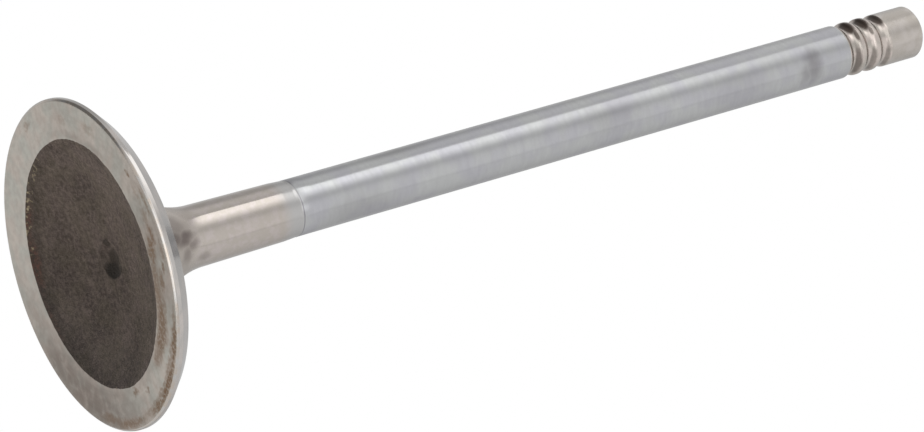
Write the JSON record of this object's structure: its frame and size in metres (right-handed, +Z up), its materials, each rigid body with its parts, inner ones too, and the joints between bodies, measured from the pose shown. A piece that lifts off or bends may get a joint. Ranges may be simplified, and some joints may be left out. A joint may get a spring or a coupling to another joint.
{
  "type": "engine valve",
  "caption": "Poppet valve, one forged piece: dished head with bevelled seat, tapered neck, long ground stem and keeper grooves.",
  "frame": {"origin": "centre of the head's flat face, the plane it stands on", "axes": "+Z up the stem from the head's face to the tip; the valve is round about Z, but for the dish's middle, 0.65 mm off towards -Y"},
  "size_m": [0.0456, 0.0456, 0.1424],
  "materials": {
    "valve_steel": "forged steel: scaled dish, faced rim, ground seat, plated and ground stem"
  },
  "bodies": {
    "root": {"valve": "valve_steel"}
  },
  "joints": []
}
